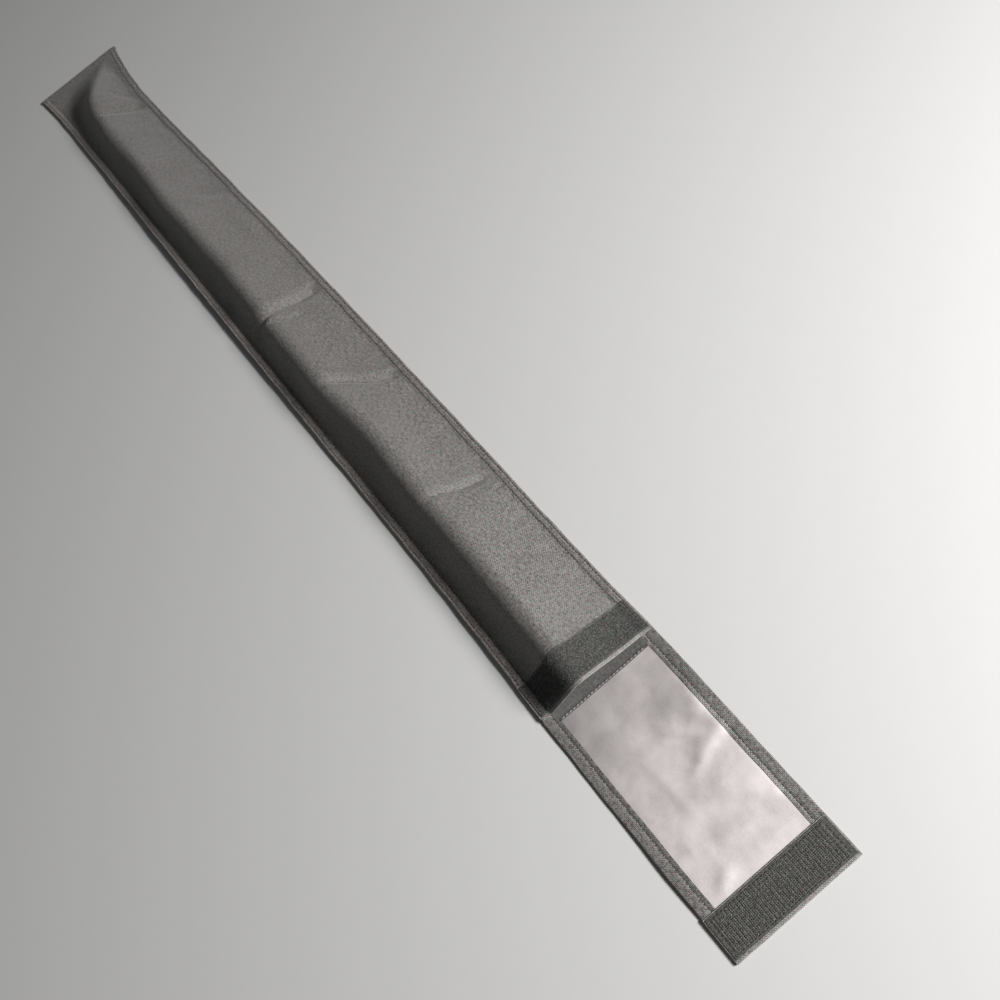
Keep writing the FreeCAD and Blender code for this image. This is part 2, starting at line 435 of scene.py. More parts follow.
def weave(nodes, pitch):
    # plain weave on the cloth's own lengths: each check shows a piece of one thread
    place = nodes.add("ShaderNodeUVMap", uv_map="UVMap").outputs["UV"]
    inputs = {"Vector": place, "Scale": 0.05 / pitch, "Detail": 1.0}
    wander = nodes.add("ShaderNodeTexNoise", inputs).outputs["Color"]
    shift = nodes.add("ShaderNodeVectorMath", {0: wander}, operation="SCALE")
    nodes.put(shift, "Scale", 0.35 * pitch)
    inputs = {0: place, 1: shift.outputs[0]}
    bent = nodes.add("ShaderNodeVectorMath", inputs, operation="ADD").outputs[0]
    split = nodes.add("ShaderNodeSeparateXYZ", {"Vector": bent})
    waves = []
    for axis in ("X", "Y"):
        turns = nodes.math("MULTIPLY", split.outputs[axis], math.pi / pitch)
        waves.append(nodes.math("SINE", turns))
    checks = nodes.math("MULTIPLY", waves[0], waves[1])
    side = nodes.math("GREATER_THAN", checks, 0.0)
    warp = nodes.math("ABSOLUTE", waves[0])
    weft = nodes.math("ABSOLUTE", waves[1])
    difference = nodes.math("SUBTRACT", warp, weft)
    height = nodes.math("MULTIPLY_ADD", side, difference, weft)
    return place, height, side


clothLook = {
    "dark": (0.040, 0.038, 0.036, 1),
    "light": (0.205, 0.194, 0.185, 1),
    "rubbed": (2.3, 2.12, 2.08, 1),  # how much paler the painted light makes the sewn bands
    "pink": (1.09, 0.96, 0.97, 1),  # single threads lean a little to pink or green
    "green": (0.93, 1.04, 0.99, 1),
    "pitch": 1.05 * mm,
    "grain": 1.5 * mm,
    "fineGrain": 900.0,
    "cloud": 24.0,
    "tint": 300.0,
    "roughness": 0.46,
    "specular": 0.6,
    "sheen": 0.22,
    "sheenRoughness": 0.45,
    "bump": 0.22 * mm,
    "slub": 0.3 * mm,
}


def makeCloth(name, look):
    surface = [look[part] for part in ("roughness", "specular", "sheen", "sheenRoughness")]
    material = newMaterial(name, *surface)
    nodes = Nodes(material)
    place, height, side = weave(nodes, look["pitch"])
    lit = nodes.math("MULTIPLY_ADD", height, 0.7, nodes.math("MULTIPLY", side, 0.3))
    # uneven yarn: long thin specks along both threads
    specks = []
    for stretch in ((0.35, 1.1, 1), (1.1, 0.45, 1)):
        inputs = {"Vector": place, "Scale": stretch}
        drawn = nodes.add("ShaderNodeMapping", inputs).outputs["Vector"]
        specks.append(nodes.noise(drawn, 1 / look["grain"], 2.0))
    speck = nodes.math("ADD", specks[0], specks[1])
    grain = nodes.noise(place, look["fineGrain"], 3.0)
    cloudy = nodes.noise(place, look["cloud"], 4.0)
    tone = nodes.math("MULTIPLY_ADD", nodes.math("SUBTRACT", grain, 0.5), 0.8, lit)
    tone = nodes.math("MULTIPLY_ADD", nodes.math("SUBTRACT", speck, 1.0), 2.2, tone)
    tone = nodes.math("MULTIPLY_ADD", nodes.math("SUBTRACT", cloudy, 0.5), 0.4, tone)
    color = nodes.mixColor(nodes.ramp(tone, -0.1, 1.2), look["dark"], look["light"])
    tint = nodes.noise(place, look["tint"], 1.0)
    tinted = nodes.mixColor(nodes.ramp(tint, 0.38, 0.62), look["pink"], look["green"])
    color = nodes.mixColor(1.0, color, tinted, "MULTIPLY")
    # painted light: an attribute on the front panel makes its sewn bands paler
    rubbed = nodes.add("ShaderNodeAttribute", attribute_name="rubbed").outputs["Fac"]
    paintedLighter = nodes.mixColor(rubbed, (1, 1, 1, 1), look["rubbed"])
    color = nodes.mixColor(1.0, color, paintedLighter, "MULTIPLY")
    nodes.put(nodes.shader, "Base Color", color)
    rough = nodes.ramp(speck, 0.7, 1.3, look["roughness"] - 0.08, look["roughness"] + 0.1)
    nodes.put(nodes.shader, "Roughness", rough)
    slub = nodes.bump(speck, look["slub"], 0.5)
    nodes.put(nodes.shader, "Normal", nodes.bump(height, look["bump"], 0.8, slub))
    return material


coatingLook = {
    # painted reflection: the coating's own grey is darker; these pale tones are raised to add the
    # overhead light that it mirrors
    "dark": (0.36, 0.325, 0.322, 1),
    "light": (0.63, 0.575, 0.57, 1),
    "rubbed": 0.50,  # painted shade: how dark the right corner by the mouth is painted
    "rubbedFrom": -30 * mm,
    "rubbedTo": 120 * mm,
    "pitch": 1.3 * mm,
    "cloud": 40.0,
    "fineGrain": 500.0,
    "crinkleScale": 90.0,
    "crinkle": 0.5 * mm,
    "imprint": 0.03 * mm,  # how far the weave shows through
    "roughness": 0.36,
    "specular": 0.9,
    "coat": 0.5,
    "coatRoughness": 0.25,
}


def makeCoating(name, look):
    material = newMaterial(name, look["roughness"], look["specular"])
    nodes = Nodes(material)
    nodes.put(nodes.shader, "Coat Weight", look["coat"])
    nodes.put(nodes.shader, "Coat Roughness", look["coatRoughness"])
    place, height, side = weave(nodes, look["pitch"])
    cloudy = nodes.noise(place, look["cloud"], 5.0)
    fine = nodes.noise(place, look["fineGrain"], 2.0)
    tone = nodes.math("MULTIPLY_ADD", height, 0.45, cloudy)
    tone = nodes.math("MULTIPLY_ADD", fine, 0.3, tone)
    color = nodes.mixColor(nodes.ramp(tone, 0.4, 1.15), look["dark"], look["light"])
    spot = nodes.add("ShaderNodeSeparateXYZ", {"Vector": place})
    # painted shade: the coating is painted darker towards the mouth and the right side
    along = nodes.math("SUBTRACT", spot.outputs["X"], mouth)
    across = nodes.math("ADD", along, spot.outputs["Y"])
    rubbed = nodes.ramp(across, look["rubbedFrom"], look["rubbedTo"], look["rubbed"], 1)
    shade = nodes.add("ShaderNodeVectorMath", {0: color}, operation="SCALE")
    nodes.put(shade, "Scale", rubbed)
    nodes.put(nodes.shader, "Base Color", shade.outputs[0])
    rough = nodes.ramp(cloudy, 0.3, 0.7, look["roughness"] - 0.05, look["roughness"] + 0.08)
    nodes.put(nodes.shader, "Roughness", rough)
    imprint = nodes.bump(height, look["imprint"], 0.5)
    crinkle = nodes.noise(place, look["crinkleScale"], 4.0)
    nodes.put(nodes.shader, "Normal", nodes.bump(crinkle, look["crinkle"], 0.35, imprint))
    return material


threadLook = {
    "twist": 900.0,
    "fuzz": 1500.0,
    "patches": 480.0,
    "specular": 0.5,
    "sheen": 0.3,
    "bump": 0.08 * mm,
}


def makeThread(name, color, roughness, patchy=0.0):
    # patchy is how much the tufts of a pile differ from each other
    material = newMaterial(name, roughness, threadLook["specular"], threadLook["sheen"])
    nodes = Nodes(material)
    place = nodes.add("ShaderNodeTexCoord").outputs["Object"]
    inputs = {"Vector": place, "Scale": threadLook["twist"], "Distortion": 1.5}
    twist = nodes.add("ShaderNodeTexWave", inputs, bands_direction="DIAGONAL").outputs["Fac"]
    fuzz = nodes.noise(place, threadLook["fuzz"], 2.0)
    tone = nodes.math("MULTIPLY_ADD", twist, 0.6, nodes.math("MULTIPLY", fuzz, 0.4))
    dark = tuple(0.55 * part for part in color) + (1,)
    light = tuple(1.5 * part for part in color) + (1,)
    color = nodes.mixColor(tone, dark, light)
    patches = nodes.noise(place, threadLook["patches"], 2.0)
    patches = nodes.ramp(patches, 0.36, 0.64, 1 - patchy, 1 + patchy)
    shade = nodes.add("ShaderNodeVectorMath", {0: color}, operation="SCALE")
    nodes.put(shade, "Scale", patches)
    nodes.put(nodes.shader, "Base Color", shade.outputs[0])
    rough = nodes.ramp(fuzz, 0.3, 0.7, roughness - 0.1, roughness + 0.1)
    nodes.put(nodes.shader, "Roughness", rough)
    nodes.put(nodes.shader, "Normal", nodes.bump(twist, threadLook["bump"], 0.7))
    return material


print("materials")
outerCloth = makeCloth("outer cloth", clothLook)
# painted highlight: the folded edges are the outer cloth turned over, made paler to paint the light
# caught along the folds
edgeLook = dict(clothLook, dark=(0.10, 0.096, 0.092, 1), light=(0.26, 0.25, 0.24, 1))
edgeCloth = makeCloth("folded edge cloth", edgeLook)
liningLook = dict(clothLook, dark=(0.05, 0.048, 0.046, 1), light=(0.13, 0.127, 0.122, 1))
liningLook.update(pitch=0.7 * mm, roughness=0.6, sheen=0.15)
liningCloth = makeCloth("lining cloth", liningLook)
tapeLook = dict(clothLook, dark=(0.022, 0.022, 0.02, 1), light=(0.105, 0.103, 0.095, 1))
tapeLook.update(pitch=1.0 * mm, roughness=0.75, specular=0.3)
tapeCloth = makeCloth("tape ground", tapeLook)
coating = makeCoating("glossy coating", coatingLook)
darkThread = makeThread("sewing thread", (0.012, 0.012, 0.013), 0.6)
paleThread = makeThread("lining thread", (0.26, 0.24, 0.23), 0.6)
loopPile = makeThread("loop pile", (0.043, 0.044, 0.041), 0.8, 0.65)
hookPile = makeThread("hook pile", (0.145, 0.143, 0.128), 0.5, 0.5)


# Sheets of cloth.
def steps(start, end, size):
    # even steps no longer than size, without the end itself
    count = max(1, math.ceil((end - start) / size))
    return [start + (end - start) * step / count for step in range(count)]


def evenly(start, end, count):
    return [start + (end - start) * step / count for step in range(count + 1)]


def selectOnly(piece):
    bpy.ops.object.select_all(action="DESELECT")
    piece.select_set(True)
    bpy.context.view_layer.objects.active = piece


def layCloth(name, rows, pointsOf, material, thickness, faceDown=False):
    # rows are places along the sheet; pointsOf gives the points of its outer face across one row
    bpy.ops.object.select_all(action="DESELECT")
    columns = len(pointsOf(rows[0]))
    bpy.ops.mesh.primitive_grid_add(x_subdivisions=len(rows) - 1, y_subdivisions=columns - 1, size=1)
    piece = bpy.context.object
    piece.name = name
    piece.data.name = name
    lines = [pointsOf(row) for row in rows]
    flatPlace = []
    for line in lines:
        run = [0]
        for before, after in zip(line, line[1:]):
            run.append(run[-1] + (after - before).length)
        flatPlace.append([length - run[-1] / 2 for length in run])
    spots = {}
    for vertex in piece.data.vertices:
        row = round((vertex.co.x + 0.5) * (len(rows) - 1))
        column = round((vertex.co.y + 0.5) * (columns - 1))
        spots[vertex.index] = (rows[row], flatPlace[row][column])
        vertex.co = lines[row][column]
    uvs = piece.data.uv_layers[0].data
    for loop in piece.data.loops:
        uvs[loop.index].uv = spots[loop.vertex_index]
    if faceDown:
        selectOnly(piece)
        bpy.ops.object.mode_set(mode="EDIT")
        bpy.ops.mesh.select_all(action="SELECT")
        bpy.ops.mesh.flip_normals()
        bpy.ops.object.mode_set(mode="OBJECT")
    piece.data.materials.append(material)
    solid = piece.modifiers.new("thickness", "SOLIDIFY")
    solid.thickness = thickness
    solid.offset = -1
    solid.use_even_offset = False
    finishPiece(piece)
    middle = flatPlace[len(rows) // 2]
    piece["flatWidth"] = middle[-1] - middle[0]
    return piece


def finishPiece(piece, angle=50):
    # modifiers applied, and faces smooth up to the angle
    selectOnly(piece)
    for modifier in list(piece.modifiers):
        bpy.ops.object.modifier_apply(modifier=modifier.name)
    bpy.ops.object.shade_smooth_by_angle(angle=math.radians(angle))
    piece.select_set(False)


frontCut = {
    "rowStep": 3.0 * mm,
    "fineStep": 1.3 * mm,  # rows this close near the sharp folds
    "fineReach": 22 * mm,
    "turnInsets": [11, 7, 3.5, 1.4],  # mm in from the edge, under the seam
    "flangeInsets": [1.4, 1.9, 2.5, 3.1, 4.2, 5.8, 7.0, 7.6, 8.2],  # the same on top of it
    "rowInsets": [2.5, 7.6],  # where the two rows of stitches pull the cloth down
    "groove": 0.4 * mm,
    "domeColumns": 40,
    "edgeWave": 0.5 * mm,
    "edgeWaveLength": 22 * mm,
    "flangePucker": 0.28 * mm,
    "flangePuckerLength": 6 * mm,
    "overlap": 1.5 * mm,  # how far it runs on under the lip
    # painted light on the sewn bands, left and right
    "rubbedLeft": 0.55,
    "rubbedRight": 0.2,
}
turnSteps = 6  # faces round each turned edge


def edgeWander(x, side):
    # the sewn edge is never quite straight
    return frontCut["edgeWave"] * noise.noise(Vector((x, side, 0)) / frontCut["edgeWaveLength"])


def groove(inset):
    return frontCut["groove"] if inset in frontCut["rowInsets"] else 0


def turnPoints():
    # the round of the turned edge, as reach past its centre and height
    points = []
    for step in range(1, turnSteps):
        angle = math.pi * (step / turnSteps - 0.5)
        points.append((cloth * math.cos(angle), 3 * cloth + cloth * math.sin(angle)))
    return points


def wanderingEdges(x, left, right):
    # each long edge with the way that leads inward from it
    return (left + edgeWander(x, -1), 1), (right + edgeWander(x, 1), -1)


def frontRow(x):
    halves = []
    for edge, inward in wanderingEdges(x, *edges(x)):
        half = [(edge + inward * inset * mm, 2 * cloth) for inset in frontCut["turnInsets"]]
        half += [(edge + inward * (cloth - reach), z) for reach, z in turnPoints()]
        for inset in frontCut["flangeInsets"]:
            spot = Vector((x, inset * 0.5 * mm, inward)) / frontCut["flangePuckerLength"]
            pucker = frontCut["flangePucker"] * noise.noise(spot)
            half.append((edge + inward * inset * mm, frontTop - groove(inset) + pucker))
        halves.append(half)
    dome = [(y, coverHeight(x, y)) for y in evenly(*seams(x), frontCut["domeColumns"])]
    return [laidFront(x, y, z) for y, z in halves[0] + dome + halves[1][::-1]]


print("front panel")
endRound = 1.6 * mm
noseReach = 4.5 * mm
frontRows = [noseReach]
foldMiddles = [(fold["ends"][0] + fold["ends"][2]) / 2 for fold in sharpFolds]
while frontRows[-1] < lipStart - 1 * mm:
    nearest = min(abs(frontRows[-1] - middle) for middle in foldMiddles)
    step = "fineStep" if nearest < frontCut["fineReach"] else "rowStep"
    frontRows.append(frontRows[-1] + frontCut[step])
frontRows[-1] = lipStart + frontCut["overlap"]
frontPanel = layCloth("frontPanel", frontRows, frontRow, outerCloth, cloth)
# painted light: the sewn bands are painted paler than the rest, the left one more, as the dome shades the
# left band from the lamp
rubbed = frontPanel.data.attributes.new("rubbed", "FLOAT", "POINT")
for vertex in frontPanel.data.vertices:
    left, right = edges(vertex.co.x - closedEnd)
    inside = min(vertex.co.y - left, right - vertex.co.y)
    share = frontCut["rubbedLeft"] if vertex.co.y < 0 else frontCut["rubbedRight"]
    band = layers["seamWidth"]
    rubbed.data[vertex.index].value = share * (1 - ease(inside, band - 3 * mm, band))

backCut = {
    "rowStep": 6 * mm,
    "flapStep": 2.6 * mm,
    "foldStep": 1 * mm,
    "hemInsets": [12, 11, 9.2, 8.5, 7.8, 5, 2.6, 1.2],  # mm in from the edge
    "stitchInset": 8.5,
    "bottomColumns": 40,
    "calmUntil": 24 * mm,  # before the mouth, where the rows get closer
}


def hemmedRow(x):
    # the back and the flap: one strip with both long edges folded in
    halves = []
    for edge, inward in wanderingEdges(x, *caseEdges(x)):
        half = []
        for inset in backCut["hemInsets"]:
            sunk = frontCut["groove"] if inset == backCut["stitchInset"] else 0
            half.append((edge + inward * inset * mm, hemTop - sunk))
        for step in range(1, turnSteps):
            angle = math.pi * (0.5 - step / turnSteps)
            reach = cloth * (1 - math.cos(angle))
            half.append((edge + inward * reach, cloth * (1 + math.sin(angle))))
        halves.append(half)
    low, high = halves[0][-1][0], halves[1][-1][0]
    bottom = [(y, 0) for y in evenly(low, high, backCut["bottomColumns"])[1:-1]]
    return [laid(x, y, z) for y, z in halves[0] + bottom + halves[1][::-1]]


print("back panel and flap")


def rowsOverFold(start, fold, end, step):
    # rows of cloth with closer ones where it bends
    bend = layers["foldReach"] + layers["foldMargin"]
    rows = steps(start, fold - bend, step)
    rows += steps(fold - bend, fold + bend, backCut["foldStep"])
    return rows + steps(fold + bend, end, step) + [end]


calm = mouth - backCut["calmUntil"]
backRows = steps(noseReach, calm, backCut["rowStep"])
backRows += rowsOverFold(calm, firstFold, bandMiddle, backCut["flapStep"])
backPanel = layCloth("backPanel", backRows, hemmedRow, outerCloth, cloth, faceDown=True)

endFold = 1.5 * cloth
tipRows = rowsOverFold(bandMiddle, secondFold, caseLength - endFold, backCut["flapStep"])
flapTip = layCloth("flapTip", tipRows, hemmedRow, outerCloth, cloth, faceDown=True)


# The flap's end, folded back under the hook tape.
endCut = {
    "turnSteps": 7,
    "wander": 0.3 * mm,
    "wanderLength": 18 * mm,
    "pastTape": 1.2 * mm,  # how far it shows beyond the tape
    "narrower": 0.2 * mm,
    "lines": 60,
}


def endHemLine(y):
    wander = endCut["wander"] * noise.noise(Vector((y, 0, 2)) / endCut["wanderLength"])
    points = []
    for step in range(endCut["turnSteps"] + 1):
        angle = math.pi * (step / endCut["turnSteps"] - 0.5)
        x = caseLength - endFold + (endFold + wander) * math.cos(angle)
        points.append(laid(x, y, endFold + endFold * math.sin(angle)))
    for x in evenly(caseLength - endFold - 1.5 * mm, hookStart - endCut["pastTape"], 10):
        points.append(laid(x, y, 2 * endFold))
    return points


hemReach = halfWidth - endCut["narrower"]
endHem = layCloth("endHem", evenly(-hemReach, hemReach, endCut["lines"]), endHemLine, edgeCloth, cloth)


# The turn of the cloth at the closed end.
noseCut = {"corner": 2.5 * mm, "turnSteps": 10, "lines": 60}


def noseLine(y):
    left, right = edges(endRound)
    close = min(1, math.sqrt(max(0, min(y - left, right - y)) / noseCut["corner"]))
    points = [laid(noseReach, y, frontTop)]
    for step in range(noseCut["turnSteps"] + 1):
        angle = math.pi * (0.5 - step / noseCut["turnSteps"])
        reach = endRound * close * math.cos(angle)
        points.append(laid(endRound - reach, y, 2 * cloth * (1 + math.sin(angle))))
    return points + [laid(noseReach, y, 0)]


noseLow, noseHigh = edges(endRound)
noseRows = evenly(noseLow + 0.01 * mm, noseHigh - 0.01 * mm, noseCut["lines"])
closedEndFold = layCloth("closedEndFold", noseRows, noseLine, outerCloth, layers["foldedEdge"])

# Glossy inner face of the flap.
coatCut = {
    "underHem": 1.5 * mm,  # how far it runs on under the hems
    "pastMouth": 6 * mm,  # how far it runs on into the pocket
    "underTape": 3 * mm,
    "step": 1.8 * mm,
    "columns": 48,
}
coatingEdge = halfWidth - hemWidth + coatCut["underHem"]
coatingTop = cloth + layers["coating"] + layers["coatingGap"]
coatingStart, coatingEnd = mouth - coatCut["pastMouth"], hookStart + coatCut["underTape"]


def coatingRow(x):
    return [laid(x, y, coatingTop) for y in evenly(-coatingEdge, coatingEdge, coatCut["columns"])]


innerRows = rowsOverFold(coatingStart, firstFold, bandMiddle, coatCut["step"])
flapCoating = layCloth("flapCoating", innerRows, coatingRow, coating, layers["coating"])
innerRows = rowsOverFold(bandMiddle, secondFold, coatingEnd, coatCut["step"])
tipCoating = layCloth("tipCoating", innerRows, coatingRow, coating, layers["coating"])

# Linings.
liningCut = {
    "floorStart": 20 * mm,
    "floorStep": 8 * mm,
    "floorGap": 0.1 * mm,
    "floorColumns": 30,
    "endReach": 12 * mm,  # its last stretch has closer rows
    "endStep": 1.5 * mm,
    "roll": 0.7 * mm,  # how far its loose end rolls up
    "roofStart": 42 * mm,
    "roofStep": 6 * mm,
    "roofGap": 0.25 * mm,
    "roofColumns": 36,
    "sideGap": 0.2 * mm,
}


def floorRow(x):
    left, right = caseEdges(x)
    inset = hemWidth + liningCut["sideGap"]
    roll = liningCut["roll"] * ease(x, liningEnd - 3 * mm, liningEnd - 1 * mm)
    height = coatingTop + layers["lining"] + liningCut["floorGap"] + roll
    return [laid(x, y, height) for y in evenly(left + inset, right - inset, liningCut["floorColumns"])]


def roofRow(x):
    leftSeam, rightSeam = seams(x)
    points = []
    for y in evenly(leftSeam + 1 * mm, rightSeam - 1 * mm, liningCut["roofColumns"]):
        point = coverPoint(x, y, -cloth - liningCut["roofGap"])
        point.z = max(point.z, frontTop - 1 * mm)
        points.append(laidFront(*point))
    return points


print("linings")
looseEnd = mouth - liningCut["endReach"]
floorRows = steps(liningCut["floorStart"], looseEnd, liningCut["floorStep"])
floorRows += steps(looseEnd, liningEnd, liningCut["endStep"]) + [liningEnd]
backLining = layCloth("backLining", floorRows, floorRow, liningCloth, layers["lining"])
roofRows = steps(liningCut["roofStart"], lipStart, liningCut["roofStep"]) + [lipStart]
frontLining = layCloth("frontLining", roofRows, roofRow, liningCloth, layers["lining"])


# The folded lip of the mouth.
lipCut = {
    "stand": 0.25 * mm,
    "thick": 0.5 * mm,
    "tuck": 11 * mm,  # how far it is turned back inside
    "inset": 1.2 * mm,
    "wander": 0.4 * mm,
    "wanderLength": 20 * mm,
    "turnSteps": 7,
    "columns": 60,
    "clear": 0.3 * mm,  # least height over the hems below
}


def acrossMouth(x, inset, count):
    left = edges(min(x, mouth))[0]
    leftSeam, rightSeam = seams(min(x, mouth))
    flange = evenly(left + inset, leftSeam, 7)
    dome = evenly(leftSeam, rightSeam, count)
    return flange[:-1] + dome + [-y for y in flange[::-1][1:]]


def lipLine(y):
    top = lipCut["stand"]
    radius = (top + cloth + lipCut["thick"]) / 2
    wander = lipCut["wander"] * noise.noise(Vector((y, 4, 0)) / lipCut["wanderLength"])
    points = []
    for x in evenly(lipStart + wander, mouth - radius, 3):
        points.append(coverPoint(x, y, top))
    for step in range(1, lipCut["turnSteps"]):
        angle = math.pi * (0.5 - step / lipCut["turnSteps"])
        x = mouth - radius + radius * math.cos(angle)
        points.append(coverPoint(x, y, top - radius + radius * math.sin(angle)))
    for x in evenly(mouth - radius, mouth - lipCut["tuck"], 5):
        points.append(coverPoint(x, y, top - 2 * radius))
    lowest = hemTop + lipCut["clear"]
    return [laidFront(point.x, point.y, max(point.z, lowest)) for point in points]


lipAcross = acrossMouth(mouth, lipCut["inset"], lipCut["columns"])
mouthLip = layCloth("mouthLip", lipAcross, lipLine, edgeCloth, layers["foldedEdge"], faceDown=True)

# Hook and loop tape.
tapes = {
    "lines": 12,
    "columns": 60,
    "loopMargin": 2 * mm,
    "loopWander": 0.7 * mm,
    "loopWanderLength": 16 * mm,
    "hookOverrun": 1.4 * mm,  # how far the hook tape runs on over the flap's folded end
    "bare": 2.4 * mm,  # woven edge with no pile
    "bareSide": 4.6 * mm,
    "loopPitch": 1.05 * mm,
    "hookPitch": 1.3 * mm,
}
tapeGround = 2 * endFold + layers["tape"]
tapeEnd = hookEnd + tapes["hookOverrun"]


def loopLine(y):
    wander = tapes["loopWander"] * noise.noise(Vector((y, 7, 0)) / tapes["loopWanderLength"])
    points = []
    for x in evenly(loopStart + wander, lipStart - 0.1 * mm, tapes["lines"]):
        point = coverPoint(x, y, layers["tape"])
        points.append(laidFront(*point))
    return points


def hookLine(y):
    return [laid(x, y, tapeGround) for x in evenly(hookStart, tapeEnd, tapes["lines"])]


print("tapes")
loopAcross = acrossMouth(mouth - 20 * mm, tapes["loopMargin"], tapes["columns"])
loopTape = layCloth("loopTape", loopAcross, loopLine, tapeCloth, layers["tape"], faceDown=True)
hookAcross = evenly(-hookReach, hookReach, tapes["columns"])
hookTape = layCloth("hookTape", hookAcross, hookLine, tapeCloth, layers["tape"], faceDown=True)


# Repeated small pieces: one is modelled, then copied with its own mesh and joined.
stitching = {
    "length": 2.8 * mm,
    "pitch": 3.6 * mm,
    "width": 1.0 * mm,
    "height": 0.34 * mm,
    "sunk": 0.16 * mm,
    "under": 0.02 * mm,  # height of the rows on the underside
    "holeGap": 0.3 * mm,
    "slip": 0.09 * mm,  # how far a stitch strays sideways
    "start": 3 * mm,
    "outerInset": 2.5 * mm,
    "innerInset": 7.6 * mm,
    "loopEnds": (2 * mm, 1.8 * mm),  # in from the loop tape's two long edges
    "loopSide": 4 * mm,
    "hookEnds": 2 * mm,
    "hookSide": 3.4 * mm,
    "liningInset": 1.2 * mm,
}
pile = {
    "loopRadius": 0.5 * mm,
    "loopYarn": 0.1 * mm,
    "hookRadius": 0.36 * mm,
    "hookWire": 0.17 * mm,
    "hookStem": 0.7 * mm,
    "hookStand": 0.55 * mm,  # the hook's middle above the tape
}


def copyAlong(name, master, spots, material):
    bpy.ops.object.select_all(action="DESELECT")
    copies = []
    for spot in spots:
        copy = master.copy()
        copy.data = master.data.copy()
        copy.data.transform(spot)
        bpy.context.scene.collection.objects.link(copy)
        copies.append(copy)
    for copy in copies:
        copy.select_set(True)
    piece = copies[0]
    bpy.context.view_layer.objects.active = piece
    bpy.ops.object.join()
    piece.name = name
    piece.data.name = name
    piece.data.materials.clear()
    piece.data.materials.append(material)
    piece.select_set(False)
    return piece


smallAngle = 80  # small pieces are smooth up to here


def asMade(piece):
    bpy.ops.object.transform_apply(location=True, rotation=True, scale=True)
    return piece


def modelStitch():
    # a thread that dives into the cloth at both ends
    bpy.ops.object.select_all(action="DESELECT")
    upright = (0, math.pi / 2, 0)
    bpy.ops.mesh.primitive_uv_sphere_add(segments=6, ring_count=6, radius=1, rotation=upright)
    piece = asMade(bpy.context.object)
    piece.scale = stitching["length"] / 2, stitching["width"] / 2, stitching["height"]
    asMade(piece)
    finishPiece(piece, smallAngle)
    return piece


def halfRing(radius, wire, sides, cut):
    # a standing ring, cut off level below
    bpy.ops.object.select_all(action="DESELECT")
    bpy.ops.mesh.primitive_torus_add(
        major_segments=8, minor_segments=sides, major_radius=radius, minor_radius=wire,
        rotation=(math.pi / 2, 0, 0),
    )
    piece = asMade(bpy.context.object)
    bpy.ops.object.mode_set(mode="EDIT")
    bpy.ops.mesh.select_all(action="SELECT")
    bpy.ops.mesh.bisect(plane_co=(0, 0, cut), plane_no=(0, 0, 1), clear_inner=True, use_fill=True)
    bpy.ops.mesh.select_all(action="DESELECT")
    bpy.ops.object.mode_set(mode="OBJECT")
    return piece


def modelLoop():
    piece = halfRing(pile["loopRadius"], pile["loopYarn"], 3, -pile["loopYarn"])
    finishPiece(piece, smallAngle)
    return piece


def modelHook():
    # a stem that turns over at the top and stops short of the ground
    piece = halfRing(pile["hookRadius"], pile["hookWire"], 4, 0)
    for face in piece.data.polygons:
        face.select = face.center.x < 0 and face.normal.z < -0.9
    bpy.ops.object.mode_set(mode="EDIT")
    bpy.ops.mesh.extrude_region_move(TRANSFORM_OT_translate={"value": (0, 0, -pile["hookStem"])})
    bpy.ops.object.mode_set(mode="OBJECT")
    finishPiece(piece, smallAngle)
    return piece


stitch = modelStitch()


def stitchAt(place, ahead, up):
    # stands a stitch at a place, along the way to the next, on a surface that faces up
    along = (ahead - place).normalized()
    across = up.cross(along).normalized()
    top = along.cross(across)
    turned = Matrix((along, across, top)).transposed().to_4x4()
    return Matrix.Translation((place + ahead) / 2) @ turned


def sewLine(path, up, end):
    # spots of the stitches along a path, which path(distance) gives
    spots = []
    place = 0
    gap = stitching["holeGap"]
    wobble = random.Random(11)
    while place + stitching["pitch"] < end:
        near = path(place + gap)
        far = path(place + stitching["pitch"] - gap)
        slip = Vector((0, wobble.uniform(-1, 1) * stitching["slip"], 0))
        spots.append(stitchAt(near, far + slip, up))
        place += stitching["pitch"]
    return spots


def seamPath(side, inset, z):
    def path(distance):
        x = stitching["start"] + distance
        edge = edges(x)[0 if side < 0 else 1] + edgeWander(x, side)
        return laid(x, edge - side * inset, z)
    return path


print("stitches")
up, down = Vector((0, 0, 1)), Vector((0, 0, -1))
seamRun = loopStart - 4 * mm
seamRows = {}
for side, word in ((-1, "left"), (1, "right")):
    for row in ("outer", "inner"):
        inset = stitching[row + "Inset"]
        top = frontTop - frontCut["groove"] + stitching["sunk"]
        spots = sewLine(seamPath(side, inset, top), up, seamRun)
        spots += sewLine(seamPath(side, inset, stitching["under"]), down, seamRun)
        name = word + row.capitalize() + "Stitches"
        seamRows[name] = copyAlong(name, stitch, spots, darkThread)


def hemPath(side, start, z):
    inset = backCut["stitchInset"] * mm

    def path(distance):
        x = start + distance
        return laid(x, side * (halfWidth - inset) + edgeWander(x, side), z)
    return path


hemStitchTop = hemTop - frontCut["groove"] + stitching["sunk"]
baseSpots, tipSpots = [], []
for side in (-1, 1):
    start = mouth + 2 * mm
    baseSpots += sewLine(hemPath(side, start, hemStitchTop), up, bandMiddle - start)
    baseSpots += sewLine(hemPath(side, start, stitching["under"]), down, bandMiddle - start)
    run = hookStart - bandMiddle - 1 * mm
    tipSpots += sewLine(hemPath(side, bandMiddle, hemStitchTop), up, run)
    tipSpots += sewLine(hemPath(side, bandMiddle, stitching["under"]), down, run)
baseHemStitches = copyAlong("baseHemStitches", stitch, baseSpots, darkThread)
tipHemStitches = copyAlong("tipHemStitches", stitch, tipSpots, darkThread)


